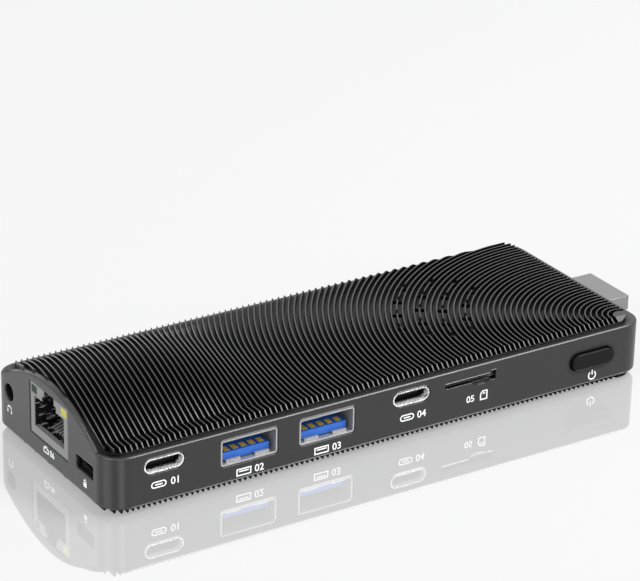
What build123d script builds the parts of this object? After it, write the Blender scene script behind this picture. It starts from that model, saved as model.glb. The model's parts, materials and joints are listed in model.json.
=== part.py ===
from build123d import *
from math import degrees, sqrt
import os

os.makedirs("parts", exist_ok=True)

# Finned stick computer. Millimetres, +Z up, +X towards the video plug, and the
# long side with the sockets faces -Y. The origin is under the middle of the box.

# Overall sizes
body_length = 130.9
body_width = 49.5
corner_radius = 5.0
plug_reach = 9.3
wall = 1.1
lip_height = 1.35
rim_height = 12.6
rim_fillet = 0.4
fit_gap = 0.15
contact_gap = 0.05
overrun = 2.0

port_x = -(body_length + plug_reach) / 2
plug_x = port_x + body_length
body_mid_x = (port_x + plug_x) / 2
front_y = -body_width / 2
back_y = body_width / 2


def along(distance):
    """X of a place so far from the end with the network jack."""
    return port_x + distance


def inward(distance):
    """Y of a place so far in from the long side with the sockets."""
    return front_y + distance


def place(shares):
    """A place in plan from its shares of the body's length and width."""
    return (along(shares[0] * body_length), inward(shares[1] * body_width))


def box_between(x_pair, y_pair, z_pair, mode=Mode.ADD):
    """A box between two planes each way, in the part being built."""
    lengths = [pair[1] - pair[0] for pair in (x_pair, y_pair, z_pair)]
    middles = [(pair[1] + pair[0]) / 2 for pair in (x_pair, y_pair, z_pair)]
    with Locations(tuple(middles)):
        return Box(*lengths, mode=mode)


# Hump over the network jack: full height near the port end, then it fades out
hump_rise = 5.3
hump_edge_rise = 6.4
hump_shift = 0.75
hump_half_width = 20.3
hump_full_along = 23.2
hump_end_along = 52.2
crown_shares = (0, 2, 0)
steady_shares = (1, 1)
fading_shares = (1, 1, 0.04, 0)

# Fins: one ring each, all round one centre near the front corner by the plug
crest_height = 14.1
fin_depth = 1.1
fin_sink = 0.3
fin_width = 0.28
ring_pitch = 1.22
ring_from_plug_end = 4.6
ring_from_front = 2.6
first_ring = 2
ring_offset_share = 0.5
fin_end_slope_share = 1.1
fin_end_step = 0.1
roof = 0.8
top_inset_side = 1.5
top_inset_port = 1.3
top_inset_plug = 2.6
top_fin_corner = 3.5
ring_x = plug_x - ring_from_plug_end
ring_y = inward(ring_from_front)

# Vent windows: each cuts one fin, on four rings
vent_ring_numbers = (27, 31, 35, 39)
vent_counts = (4, 5, 5, 4)
vent_mid_angle = 143.9
vent_spacing = 6.9
vent_length = 1.8


def ring_radius(number):
    """Radius of the middle of a fin."""
    return (number + ring_offset_share) * ring_pitch


def hump_face(height, rise, x_pair, fade_shares):
    """A stretch of the hump from foot to foot: an arch across, faded along."""
    rows = []
    for i, fade in enumerate(fade_shares):
        x = x_pair[0] + (x_pair[1] - x_pair[0]) * i / (len(fade_shares) - 1)
        row = []
        for j, crown in enumerate(crown_shares):
            y = hump_shift - hump_half_width + hump_half_width * j
            row.append((x, y, height + rise * crown * fade))
        rows.append(row)
    return Face.make_bezier_surface(rows)


def humped_block(height, rise):
    """A block from under the floor to a flat top, with the hump on it."""
    steady_pair = (port_x - overrun, along(hump_full_along))
    fading_pair = (along(hump_full_along), along(hump_end_along))
    with BuildPart() as block:
        with BuildSketch(Plane.XY.offset(height)):
            with Locations((body_mid_x, 0)):
                Rectangle(body_length + 2 * overrun, body_width + 2 * overrun)
        extrude(amount=-height - overrun)
        steady_face = hump_face(height, rise, steady_pair, steady_shares)
        extrude(steady_face, amount=height, dir=(0, 0, -1))
        fading_face = hump_face(height, rise, fading_pair, fading_shares)
        extrude(fading_face, amount=height, dir=(0, 0, -1))
    return block.part


def vent_windows(width, mode=Mode.ADD):
    """The vent windows, so wide across their fins, in the sketch being built."""
    for number, count in zip(vent_ring_numbers, vent_counts):
        radius = ring_radius(number)
        step = degrees(vent_spacing / radius)
        start = vent_mid_angle - step * (count - 1) / 2
        with Locations((ring_x, ring_y)):
            with PolarLocations(radius, count, start, step * count):
                Rectangle(width, vent_length, mode=mode)


def ring_numbers(port_inset, side_inset, corner):
    """Numbers of the rings that meet a rounded outline, with the middle disc first."""
    span_x = ring_x - port_x - port_inset
    span_y = back_y - side_inset - ring_y
    reach = sqrt(span_x**2 + span_y**2) - (sqrt(2) - 1) * corner
    return range(first_ring - 1, int(reach / ring_pitch))


def ring_strips(outline, height, numbers):
    """The plan of every fin: rings and the middle disc, cut to an outline and its vents."""
    strips = []
    for number in numbers:
        with BuildSketch(Plane.XY.offset(height)) as strip:
            with Locations((ring_x, ring_y)):
                Circle(ring_radius(number) + fin_width / 2)
                if number >= first_ring:
                    Circle(ring_radius(number) - fin_width / 2, mode=Mode.SUBTRACT)
            add(outline, mode=Mode.INTERSECT)
            if number in vent_ring_numbers:
                vent_windows(2 * ring_pitch - fin_width, mode=Mode.SUBTRACT)
        strips.extend(strip.sketch.faces())
    return strips


floor_height = crest_height - fin_depth
inner_height = floor_height - roof
hump_top = rim_height + hump_edge_rise
top_fin_length = body_length - top_inset_port - top_inset_plug
top_fin_mid_x = body_mid_x + (top_inset_port - top_inset_plug) / 2
inner_length = body_length - 2 * wall
inner_width = body_width - 2 * wall
inner_corner = corner_radius - wall

# Main board, which hangs from bosses in the roof with every socket under it
board_thickness = 0.8
board_z = 11.05
board_clearance = 0.3
board_top = board_z + board_thickness
boss_shares = (
    (0.160, 0.212),
    (0.143, 0.899),
    (0.468, 0.212),
    (0.461, 0.909),
    (0.956, 0.192),
    (0.945, 0.889),
)
boss_places = [place(shares) for shares in boss_shares]
boss_radius = 1.7
boss_hole_gap = 0.15
pilot_radius = 0.65
pilot_depth = 1.6

# Snap hooks that hold the bottom cover
front_hook_alongs = (21.0, 61.3, 101.7)
back_hook_alongs = (9.0, 64.0, 121.5)
hook_width = 5.0
hook_thickness = 0.9
hook_top = 6.3
nib_low = 5.3
nib_high = 6.1
nib_reach = 0.4
notch_depth = 0.5
hook_places = [(along(d), inward(wall)) for d in front_hook_alongs]
hook_places += [(along(d), back_y - wall) for d in back_hook_alongs]

# Sockets on the long side
oval_alongs = (12.4, 70.5)
oval_width = 8.94
oval_height = 3.2
oval_wall = 0.3
oval_depth = 7.3
oval_z = board_z - oval_height / 2
wide_alongs = (31.8, 50.1)
wide_width = 13.1
wide_height = 5.72
wide_wall = 0.35
wide_corner = 0.6
wide_depth = 14.2
wide_drop = 0.26
wide_z = board_z - wide_drop - wide_height / 2
socket_setback = 0.15
card_along = 84.9
card_slit_length = 12.2
card_slit_height = 1.1
card_z = 9.55
card_notch_width = 1.3
card_notch_height = 2.1
card_scoop_length = 4.6
card_scoop_rise = 0.9
card_scoop_depth = 0.5

# Power button
button_along = 116.7
button_z = 7.1
button_length = 10.9
button_height = 3.6
button_gap = 0.2
button_reach = 0.8
button_edge = 0.3
button_travel = 0.5

# Jacks on the short side
jack_width = 15.7
jack_height = 11.2
jack_low = 5.6
jack_depth = 15.5
jack_setback = 0.1
audio_inward = 42.0
audio_z = 10.1
audio_hole_radius = 1.9
lock_inward = 9.75
lock_z = 7.5
lock_length = 7.0
lock_height = 3.0
lock_corner = 0.5

# Video plug and its collar
plug_width = 13.9
plug_height = 4.45
plug_z = 7.3
plug_wall = 0.3
collar_half_top = 7.3
collar_half_low = 8.1
collar_shoulder = 5.7
collar_top = 10.2
plug_mid_low = plug_z - plug_height / 2
plug_mid_high = plug_z + plug_height / 2


def collar_outline(grow):
    """Outline of the collar, seen from the plug end, or of its opening, grown round it."""
    corners = [
        (collar_half_low + grow, lip_height),
        (collar_half_top + grow, collar_shoulder),
        (collar_half_top + grow, collar_top + grow),
    ]
    with BuildLine() as edge:
        Polyline(*[(-y, z) for y, z in corners], *reversed(corners), close=True)
    make_face(edge.edges())


# Blocks under the four humped surfaces of the upper housing
under_roof = humped_block(inner_height, hump_rise)
under_floor = humped_block(floor_height, hump_rise)
under_crest = humped_block(crest_height, hump_rise)
under_edge = humped_block(rim_height, hump_edge_rise)

with BuildSketch() as top_fin_outline:
    with Locations((top_fin_mid_x, 0)):
        RectangleRounded(top_fin_length, body_width - 2 * top_inset_side, top_fin_corner)

# Everything that is hollow in the upper housing: cavity, vents, openings, notches
with BuildPart() as hollow:
    with BuildSketch(Plane.XY.offset(lip_height - overrun)):
        with Locations((body_mid_x, 0)):
            RectangleRounded(inner_length, inner_width, inner_corner)
    extrude(amount=hump_top)
    add(under_roof, mode=Mode.INTERSECT)
    boss_z = board_z + contact_gap
    with BuildSketch(Plane.XY.offset(boss_z)):
        with Locations(*boss_places):
            Circle(boss_radius)
    extrude(amount=hump_top, mode=Mode.SUBTRACT)
    # Pilot holes for the board's screws
    with Locations(*[(x, y, boss_z + pilot_depth / 2) for x, y in boss_places]):
        Cylinder(pilot_radius, pilot_depth)
    # Vents, and room in the roof for the network jack
    with BuildSketch(Plane.XY.offset(inner_height - overrun)):
        vent_windows(2 * ring_pitch - fin_width)
    extrude(amount=hump_top)
    box_between(
        (port_x - overrun, along(jack_setback + jack_depth) + fit_gap),
        (-jack_width / 2 - fit_gap, jack_width / 2 + fit_gap),
        (jack_low - fit_gap, jack_low + jack_height + fit_gap),
    )
    # Socket openings in the long side
    with BuildSketch(Plane.XZ.offset(-front_y + overrun)):
        with Locations(*[(along(d), oval_z) for d in oval_alongs]):
            SlotOverall(oval_width + 2 * fit_gap, oval_height + 2 * fit_gap)
        with Locations(*[(along(d), wide_z) for d in wide_alongs]):
            RectangleRounded(
                wide_width + 2 * fit_gap, wide_height + 2 * fit_gap, wide_corner + fit_gap
            )
        with Locations((along(card_along), card_z)):
            Rectangle(card_slit_length, card_slit_height)
        with Locations((along(card_along) + card_slit_length / 2, card_z)):
            Rectangle(card_notch_width, card_notch_height)
        with Locations((along(button_along), button_z)):
            SlotOverall(button_length + 2 * button_gap, button_height + 2 * button_gap)
    extrude(amount=-wall - 2 * overrun)
    # Thumb scoop under the card slit
    with BuildSketch(Plane.XZ.offset(-front_y + overrun)):
        with Locations((along(card_along) + card_slit_length / 4, card_z - card_slit_height / 2)):
            Ellipse(card_scoop_length / 2, card_scoop_rise)
    extrude(amount=-card_scoop_depth - overrun)
    # Openings in the short sides
    with BuildSketch(Plane.YZ.offset(port_x - overrun)):
        with Locations((inward(audio_inward), audio_z)):
            Circle(audio_hole_radius)
        with Locations((inward(lock_inward), lock_z)):
            RectangleRounded(lock_length, lock_height, lock_corner)
    extrude(amount=wall + 2 * overrun)
    with BuildSketch(Plane.YZ.offset(plug_x - wall - overrun)):
        collar_outline(contact_gap)
    extrude(amount=wall + 2 * overrun)
    # Notches for the hooks of the bottom cover
    for hook_x, wall_y in hook_places:
        box_between(
            (hook_x - hook_width / 2 - fit_gap, hook_x + hook_width / 2 + fit_gap),
            (wall_y - notch_depth, wall_y + notch_depth),
            (nib_low - fit_gap, nib_high + fit_gap),
        )

top_numbers = ring_numbers(top_inset_port, top_inset_side, top_fin_corner)
top_strips = ring_strips(top_fin_outline.sketch, inner_height, top_numbers)
# A ridge over the whole case, whose slopes run the fins down at the two long sides
fin_end_y = back_y - top_inset_side
ridge_low = floor_height + fin_end_step
with BuildPart() as fin_ridge:
    with BuildSketch(Plane.YZ.offset(port_x - overrun)):
        with BuildLine():
            Polyline(
                (-fin_end_y - contact_gap, inner_height - overrun),
                (-fin_end_y - contact_gap, ridge_low),
                (0, ridge_low + fin_end_slope_share * fin_end_y),
                (fin_end_y + contact_gap, ridge_low),
                (fin_end_y + contact_gap, inner_height - overrun),
                close=True,
            )
        make_face()
    extrude(amount=body_length + 2 * overrun)

with BuildPart() as under_fin_tops:
    add(under_crest)
    add(fin_ridge.part, mode=Mode.INTERSECT)

with BuildPart() as top_fins:
    extrude(top_strips, amount=hump_top, dir=(0, 0, 1), clean=False)
    add(under_fin_tops.part, mode=Mode.INTERSECT, clean=False)

with BuildPart() as fin_core:
    with BuildSketch(Plane.XY.offset(lip_height)):
        add(top_fin_outline.sketch)
    extrude(amount=hump_top)
    add(under_floor, mode=Mode.INTERSECT)

# The hump's own block, which stands on the flat top of the case
hump_low = rim_height - 2 * rim_fillet
with BuildPart() as hump:
    with BuildSketch(Plane.XY.offset(hump_low)):
        with Locations((body_mid_x, 0)):
            RectangleRounded(body_length, body_width, corner_radius)
    extrude(amount=hump_top)
    add(under_edge, mode=Mode.INTERSECT)
    box_between(
        (port_x - overrun, along(hump_end_along) + contact_gap),
        (
            hump_shift - hump_half_width - contact_gap,
            hump_shift + hump_half_width + contact_gap,
        ),
        (hump_low - overrun, hump_top + overrun),
        mode=Mode.INTERSECT,
    )

with BuildPart() as upper_housing:
    with BuildSketch(Plane.XY.offset(lip_height)):
        with Locations((body_mid_x, 0)):
            RectangleRounded(body_length, body_width, corner_radius)
    extrude(amount=rim_height - lip_height)
    fillet(upper_housing.faces().sort_by(Axis.Z)[0].edges(), rim_fillet)
    fillet(upper_housing.faces().sort_by(Axis.Z)[-1].edges(), rim_fillet)
    add(hump.part)
    with BuildSketch(Plane.XY.offset(lip_height - overrun)):
        add(top_fin_outline.sketch)
    extrude(amount=2 * hump_top, mode=Mode.SUBTRACT)
    add(fin_core.part)
    add(top_fins.part, clean=False)
    add(hollow.part, mode=Mode.SUBTRACT, clean=False)
upper_housing.part.label = "upper_housing"
export_step(upper_housing.part, "parts/upper_housing.step")

# Bottom cover: a plate with the same rings, drawn in to narrow crests, and snap hooks
cover_thickness = 0.9
cover_fin_depth = 1.4
cover_fin_inset = 0.05
cover_fin_base = 0.92
cover_fin_crest = 0.2
cover_top = cover_fin_depth + cover_thickness
cover_inset = wall + fit_gap
cover_corner = corner_radius - cover_inset
bottom_inset = cover_inset + cover_fin_inset
bottom_fin_corner = corner_radius - bottom_inset

with BuildSketch() as bottom_fin_outline:
    with Locations((body_mid_x, 0)):
        RectangleRounded(
            body_length - 2 * bottom_inset, body_width - 2 * bottom_inset, bottom_fin_corner
        )

bottom_rings = []
for number in ring_numbers(bottom_inset, bottom_inset, bottom_fin_corner):
    middle = ring_radius(number)
    crest_inner = middle - cover_fin_crest / 2 if number >= first_ring else 0
    base_inner = middle - cover_fin_base / 2 if number >= first_ring else 0
    with BuildSketch(Plane.XZ.offset(-ring_y)) as ring_profile:
        with BuildLine():
            Polyline(
                (ring_x + crest_inner, 0),
                (ring_x + middle + cover_fin_crest / 2, 0),
                (ring_x + middle + cover_fin_base / 2, cover_fin_depth),
                (ring_x + base_inner, cover_fin_depth),
                close=True,
            )
        make_face()
    bottom_rings.append(ring_profile.sketch.face())

with BuildPart() as bottom_fin_block:
    with BuildSketch():
        add(bottom_fin_outline.sketch)
        vent_windows(ring_pitch, mode=Mode.SUBTRACT)
    extrude(amount=cover_fin_depth)

with BuildPart() as bottom_fins:
    revolve(bottom_rings, axis=Axis((ring_x, ring_y, 0), (0, 0, 1)), clean=False)
    add(bottom_fin_block.part, mode=Mode.INTERSECT, clean=False)

with BuildPart() as bottom_cover:
    with BuildSketch(Plane.XY.offset(cover_fin_depth)):
        with Locations((body_mid_x, 0)):
            RectangleRounded(
                body_length - 2 * cover_inset, body_width - 2 * cover_inset, cover_corner
            )
        vent_windows(2 * ring_pitch - fin_width, mode=Mode.SUBTRACT)
    extrude(amount=cover_thickness)
    for hook_x, wall_y in hook_places:
        side = 1 if wall_y > 0 else -1
        outer_y = wall_y - side * fit_gap
        nib_y = wall_y + side * nib_reach
        box_between(
            (hook_x - hook_width / 2, hook_x + hook_width / 2),
            sorted((outer_y, outer_y - side * hook_thickness)),
            (cover_fin_depth, hook_top),
        )
        box_between(
            (hook_x - hook_width / 2, hook_x + hook_width / 2),
            sorted((nib_y, outer_y - side * hook_thickness / 2)),
            (nib_low, nib_high),
        )
    add(bottom_fins.part, clean=False)
bottom_cover.part.label = "bottom_cover"
export_step(bottom_cover.part, "parts/bottom_cover.step")

# Collar that closes the wall round the video plug
collar_recess = 0.2
collar_flange = 0.8
collar_flange_reach = 1.0
plug_clearance = 0.1
collar_bevel = 0.5
flange_low = cover_top + fit_gap

with BuildPart() as plug_collar:
    with BuildSketch(Plane.YZ.offset(plug_x - wall - contact_gap)):
        collar_outline(0)
    extrude(amount=wall + contact_gap - collar_recess)
    box_between(
        (plug_x - wall - contact_gap - collar_flange, plug_x - wall - contact_gap),
        (-collar_half_low - collar_flange_reach, collar_half_low + collar_flange_reach),
        (flange_low, board_z - contact_gap),
    )
    with BuildSketch(Plane.YZ.offset(plug_x - wall - overrun)):
        with Locations((0, plug_z)):
            Rectangle(plug_width + 2 * plug_clearance, plug_height + 2 * plug_clearance)
    extrude(amount=wall + 2 * overrun, mode=Mode.SUBTRACT)
plug_collar.part.label = "plug_collar"
export_step(plug_collar.part, "parts/plug_collar.step")

# Video plug: shell, insulator with its slot, and the contact strips
plug_inner_length = 7.1
plug_corner = 0.4
plug_bevel_along = 1.9
plug_bevel_up = 1.1
plug_tip_recess = 0.6
plug_slot_width = 11.2
plug_slot_height = 1.7
plug_slot_depth = 5.5
plug_contact_count = 10
plug_contact_pitch = 1.0
plug_contact_width = 0.45
plug_contact_thickness = 0.25
plug_start_x = plug_x - plug_inner_length
plug_tip_x = plug_x + plug_reach
insulator_tip_x = plug_tip_x - plug_tip_recess


def plug_outline(inset):
    """Outline of the video plug, drawn in by an inset, with its low edges cut off."""
    half = plug_width / 2 - inset
    low = -plug_height / 2 + inset
    with BuildLine(mode=Mode.PRIVATE) as edge:
        Polyline(
            (-half, -low),
            (half, -low),
            (half, low + plug_bevel_up),
            (half - plug_bevel_along, low),
            (plug_bevel_along - half, low),
            (-half, low + plug_bevel_up),
            close=True,
        )
    return make_face(edge.edges(), mode=Mode.PRIVATE)


with BuildPart() as plug_shell:
    with BuildSketch(Plane.YZ.offset(plug_start_x)) as plug_ring:
        with Locations((0, plug_z)):
            add(plug_outline(0))
            add(plug_outline(plug_wall), mode=Mode.SUBTRACT)
    extrude(amount=plug_inner_length + plug_reach)
plug_shell.part.label = "plug_shell"
export_step(plug_shell.part, "parts/plug_shell.step")

plug_strip_places = []
for row, sign in enumerate((1, -1)):
    row_count = plug_contact_count - row
    for i in range(row_count):
        strip_y = (i - (row_count - 1) / 2) * plug_contact_pitch
        plug_strip_places.append((strip_y, sign * (plug_slot_height + plug_contact_thickness) / 2))

with BuildPart() as plug_insulator:
    with BuildSketch(Plane.YZ.offset(plug_start_x)):
        with Locations((0, plug_z)):
            add(plug_outline(plug_wall))
    extrude(amount=insulator_tip_x - plug_start_x)
    with BuildSketch(Plane.YZ.offset(insulator_tip_x)):
        with Locations((0, plug_z)):
            Rectangle(plug_slot_width, plug_slot_height)
    extrude(amount=-plug_slot_depth, mode=Mode.SUBTRACT)
    with BuildSketch(Plane.YZ.offset(plug_start_x)):
        with Locations(*[(y, plug_z + z) for y, z in plug_strip_places]):
            Rectangle(plug_contact_width, plug_contact_thickness)
    extrude(amount=insulator_tip_x - plug_start_x, mode=Mode.SUBTRACT)
plug_insulator.part.label = "plug_insulator"
export_step(plug_insulator.part, "parts/plug_insulator.step")

with BuildPart() as plug_contacts:
    with BuildSketch(Plane.YZ.offset(plug_start_x)):
        with Locations(*[(y, plug_z + z) for y, z in plug_strip_places]):
            Rectangle(plug_contact_width, plug_contact_thickness)
    extrude(amount=insulator_tip_x - plug_start_x)
plug_contacts.part.label = "plug_contacts"
export_step(plug_contacts.part, "parts/plug_contacts.step")

# Power button: cap with a flange behind the wall, and the switch behind it
flange_gap = 0.2
flange_grow = 1.0
flange_thickness = 0.6
stem_length = 1.3
stem_radius = 1.3
plunger_radius = 1.2
plunger_length = 2.4
plunger_gap = 0.15
switch_length = 6.2
switch_depth = 4.0
switch_low = 5.3
cap_front_y = inward(-button_reach)
flange_front_y = inward(wall + flange_gap)
cap_back_y = flange_front_y + flange_thickness + stem_length
plunger_end_y = cap_back_y + plunger_length
switch_front_y = cap_back_y + button_travel + flange_gap
bore_end_y = plunger_end_y + button_travel + flange_gap
button_x = along(button_along)

with BuildPart() as power_button_cap:
    with BuildSketch(Plane.XZ.offset(-cap_front_y)):
        with Locations((button_x, button_z)):
            SlotOverall(button_length, button_height)
    extrude(amount=cap_front_y - flange_front_y)
    fillet(power_button_cap.faces().sort_by(Axis.Y)[0].edges(), button_edge)
    with BuildSketch(Plane.XZ.offset(-flange_front_y)):
        with Locations((button_x, button_z)):
            SlotOverall(button_length + 2 * flange_grow, button_height + 2 * flange_grow)
    extrude(amount=-flange_thickness)
    with BuildSketch(Plane.XZ.offset(-flange_front_y)):
        with Locations((button_x, button_z)):
            Circle(stem_radius)
    extrude(amount=flange_front_y - cap_back_y)
power_button_cap.part.label = "power_button_cap"
export_step(power_button_cap.part, "parts/power_button_cap.step")

with BuildPart() as switch_plunger:
    with BuildSketch(Plane.XZ.offset(-cap_back_y)):
        with Locations((button_x, button_z)):
            Circle(plunger_radius)
    extrude(amount=-plunger_length)
switch_plunger.part.label = "switch_plunger"
export_step(switch_plunger.part, "parts/switch_plunger.step")

with BuildPart() as switch_body:
    box_between(
        (button_x - switch_length / 2, button_x + switch_length / 2),
        (switch_front_y, switch_front_y + switch_depth),
        (switch_low, board_z),
    )
    with BuildSketch(Plane.XZ.offset(-switch_front_y)):
        with Locations((button_x, button_z)):
            Circle(plunger_radius + plunger_gap)
    extrude(amount=switch_front_y - bore_end_y, mode=Mode.SUBTRACT)
switch_body.part.label = "switch_body"
export_step(switch_body.part, "parts/switch_body.step")

# Main board, with cut-outs round the two jacks of the short side
jack_cut_gap = 0.5
audio_width = 5.0
audio_low = 7.5
audio_high = 12.1
audio_depth = 12.7
audio_front = wall + fit_gap
audio_cut = audio_front + audio_depth + jack_cut_gap
network_cut = jack_setback + jack_depth + jack_cut_gap

with BuildPart() as main_board:
    with BuildSketch(Plane.XY.offset(board_z)):
        with Locations((body_mid_x, 0)):
            RectangleRounded(
                inner_length - 2 * board_clearance,
                inner_width - 2 * board_clearance,
                inner_corner - board_clearance,
            )
        with Locations(*boss_places):
            Circle(boss_radius + boss_hole_gap, mode=Mode.SUBTRACT)
    extrude(amount=board_thickness)
    box_between(
        (port_x, along(network_cut)),
        (-jack_width / 2 - jack_cut_gap, jack_width / 2 + jack_cut_gap),
        (board_z - overrun, board_top + overrun),
        mode=Mode.SUBTRACT,
    )
    box_between(
        (port_x, along(audio_cut)),
        (
            inward(audio_inward) - audio_width / 2 - jack_cut_gap,
            inward(audio_inward) + audio_width / 2 + jack_cut_gap,
        ),
        (board_z - overrun, board_top + overrun),
        mode=Mode.SUBTRACT,
    )
main_board.part.label = "main_board"
export_step(main_board.part, "parts/main_board.step")

# Screws that hold the board to the bosses of the roof
screw_radius = 0.6
screw_reach = 1.5
washer_radius = 2.5
washer_thickness = 0.5
screw_head_radius = 1.5
screw_head_height = 0.7
head_low = board_z - washer_thickness - screw_head_height

with BuildPart() as board_screws:
    with BuildSketch(Plane.XY.offset(board_z - washer_thickness)):
        with Locations(*boss_places):
            Circle(washer_radius)
    extrude(amount=washer_thickness)
    with BuildSketch(Plane.XY.offset(head_low)):
        with Locations(*boss_places):
            Circle(screw_head_radius)
    extrude(amount=screw_head_height)
    with BuildSketch(Plane.XY.offset(board_z - washer_thickness)):
        with Locations(*boss_places):
            Circle(screw_radius)
    extrude(amount=washer_thickness + screw_reach)
board_screws.part.label = "board_screws"
export_step(board_screws.part, "parts/board_screws.step")


def under(low_z, places, length, width, height):
    """Blocks whose tops sit at a height, in the part being built."""
    with Locations(*[(x, y, low_z) for x, y in places]):
        Box(length, width, height, align=(Align.CENTER, Align.CENTER, Align.MAX))


# Processor stack: package, die, pad and the heat sink on its standoffs
processor_along = 93.2
processor_inward = 26.8
package_side = 24.0
package_thickness = 0.8
die_side = 10.0
die_thickness = 0.4
pad_side = 12.0
pad_thickness = 0.4
pedestal_side = 16.0
pedestal_height = 0.95
sink_length = 34.0
sink_width = 20.0
sink_plate = 1.2
sink_fin_count = 9
sink_fin_width = 0.8
sink_fin_height = 4.0
sink_fin_length = 24.0
standoff_radius = 1.5
standoff_bore = 0.75
standoff_x = 14.0
standoff_y = 8.0
sink_screw_radius = 0.7
sink_head_radius = 1.35
sink_head_height = 0.8
processor = (along(processor_along), inward(processor_inward))
package_low = board_z - package_thickness
die_low = package_low - die_thickness
pad_low = die_low - pad_thickness
plate_high = pad_low - pedestal_height
plate_low = plate_high - sink_plate
standoff_places = [
    (processor[0] + i * standoff_x, processor[1] + j * standoff_y) for i in (-1, 1) for j in (-1, 1)
]
sink_fin_pitch = (sink_width - sink_fin_width) / (sink_fin_count - 1)

with BuildPart() as processor_package:
    under(board_z, [processor], package_side, package_side, package_thickness)
processor_package.part.label = "processor_package"
export_step(processor_package.part, "parts/processor_package.step")

with BuildPart() as processor_die:
    under(package_low, [processor], die_side, die_side, die_thickness)
processor_die.part.label = "processor_die"
export_step(processor_die.part, "parts/processor_die.step")

with BuildPart() as thermal_pad:
    under(die_low, [processor], pad_side, pad_side, pad_thickness)
thermal_pad.part.label = "thermal_pad"
export_step(thermal_pad.part, "parts/thermal_pad.step")

with BuildPart() as heat_sink:
    under(pad_low, [processor], pedestal_side, pedestal_side, pedestal_height)
    under(plate_high, [processor], sink_length, sink_width, sink_plate)
    fin_places = [
        (processor[0], processor[1] + (i - (sink_fin_count - 1) / 2) * sink_fin_pitch)
        for i in range(sink_fin_count)
    ]
    under(plate_low, fin_places, sink_fin_length, sink_fin_width, sink_fin_height)
    with BuildSketch(Plane.XY.offset(plate_low)):
        with Locations(*standoff_places):
            Circle(standoff_bore)
    extrude(amount=sink_plate, mode=Mode.SUBTRACT)
heat_sink.part.label = "heat_sink"
export_step(heat_sink.part, "parts/heat_sink.step")

with BuildPart() as heat_sink_standoffs:
    with BuildSketch(Plane.XY.offset(plate_high)):
        with Locations(*standoff_places):
            Circle(standoff_radius)
            Circle(standoff_bore, mode=Mode.SUBTRACT)
    extrude(amount=board_z - plate_high)
heat_sink_standoffs.part.label = "heat_sink_standoffs"
export_step(heat_sink_standoffs.part, "parts/heat_sink_standoffs.step")

with BuildPart() as heat_sink_screws:
    with BuildSketch(Plane.XY.offset(plate_low - sink_head_height)):
        with Locations(*standoff_places):
            Circle(sink_head_radius)
    extrude(amount=sink_head_height)
    with BuildSketch(Plane.XY.offset(plate_low)):
        with Locations(*standoff_places):
            Circle(sink_screw_radius)
    extrude(amount=sink_plate + (board_z - plate_high) / 2)
heat_sink_screws.part.label = "heat_sink_screws"
export_step(heat_sink_screws.part, "parts/heat_sink_screws.step")

# Chips under the board: length, width and height, then places as shares of the body
chip_sizes = {
    "memory_chips": (11.0, 13.0, 0.9),
    "storage_chip": (11.5, 13.0, 1.0),
    "power_inductors": (4.0, 4.0, 2.0),
    "power_chip": (5.0, 5.0, 0.8),
    "firmware_chip": (5.2, 6.0, 1.6),
    "network_transformer": (10.0, 12.0, 4.4),
}
chip_shares = {
    "memory_chips": ((0.521, 0.444), (0.521, 0.727)),
    "storage_chip": ((0.390, 0.768),),
    "power_inductors": ((0.519, 0.232), (0.561, 0.232), (0.374, 0.404)),
    "power_chip": ((0.760, 0.172),),
    "firmware_chip": ((0.810, 0.172),),
    "network_transformer": ((0.179, 0.485),),
}
for node, places_shares in chip_shares.items():
    with BuildPart() as chip:
        under(board_z, [place(shares) for shares in places_shares], *chip_sizes[node])
    chip.part.label = node
    export_step(chip.part, f"parts/{node}.step")

capacitor_size = (1.6, 0.8, 0.8)
capacitor_pitch = 2.6
capacitor_count = 6
capacitor_row_shares = ((0.712, 0.818), (0.712, 0.869), (0.390, 0.566), (0.275, 0.485))
capacitor_places = []
for row_shares in capacitor_row_shares:
    row_x, row_y = place(row_shares)
    for i in range(capacitor_count):
        step_x = (i - (capacitor_count - 1) / 2) * capacitor_pitch
        capacitor_places.append((row_x + step_x, row_y))
with BuildPart() as ceramic_capacitors:
    under(board_z, capacitor_places, *capacitor_size)
ceramic_capacitors.part.label = "ceramic_capacitors"
export_step(ceramic_capacitors.part, "parts/ceramic_capacitors.step")

# Clock battery and the clip that holds it under the board
battery_shares = (0.894, 0.737)
battery_radius = 6.25
battery_thickness = 2.0
clip_width = 3.0
clip_thickness = 0.25
clip_foot = 1.5
battery_x, battery_y = place(battery_shares)

with BuildPart() as clock_battery:
    with BuildSketch(Plane.XY.offset(board_z - battery_thickness)):
        with Locations((battery_x, battery_y)):
            Circle(battery_radius)
    extrude(amount=battery_thickness)
clock_battery.part.label = "clock_battery"
export_step(clock_battery.part, "parts/clock_battery.step")

clip_inner = battery_radius + contact_gap
clip_outer = clip_inner + clip_thickness
clip_low = board_z - battery_thickness - clip_thickness
clip_y_pair = (battery_y - clip_width / 2, battery_y + clip_width / 2)
with BuildPart() as battery_clip:
    box_between(
        (battery_x - clip_outer, battery_x + clip_outer),
        clip_y_pair,
        (clip_low, board_z - battery_thickness),
    )
    for side in (-1, 1):
        box_between(
            sorted((battery_x + side * clip_inner, battery_x + side * clip_outer)),
            clip_y_pair,
            (clip_low, board_z),
        )
        box_between(
            sorted((battery_x + side * clip_inner, battery_x + side * (clip_outer + clip_foot))),
            clip_y_pair,
            (board_z - clip_thickness, board_z),
        )
battery_clip.part.label = "battery_clip"
export_step(battery_clip.part, "parts/battery_clip.step")

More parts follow.
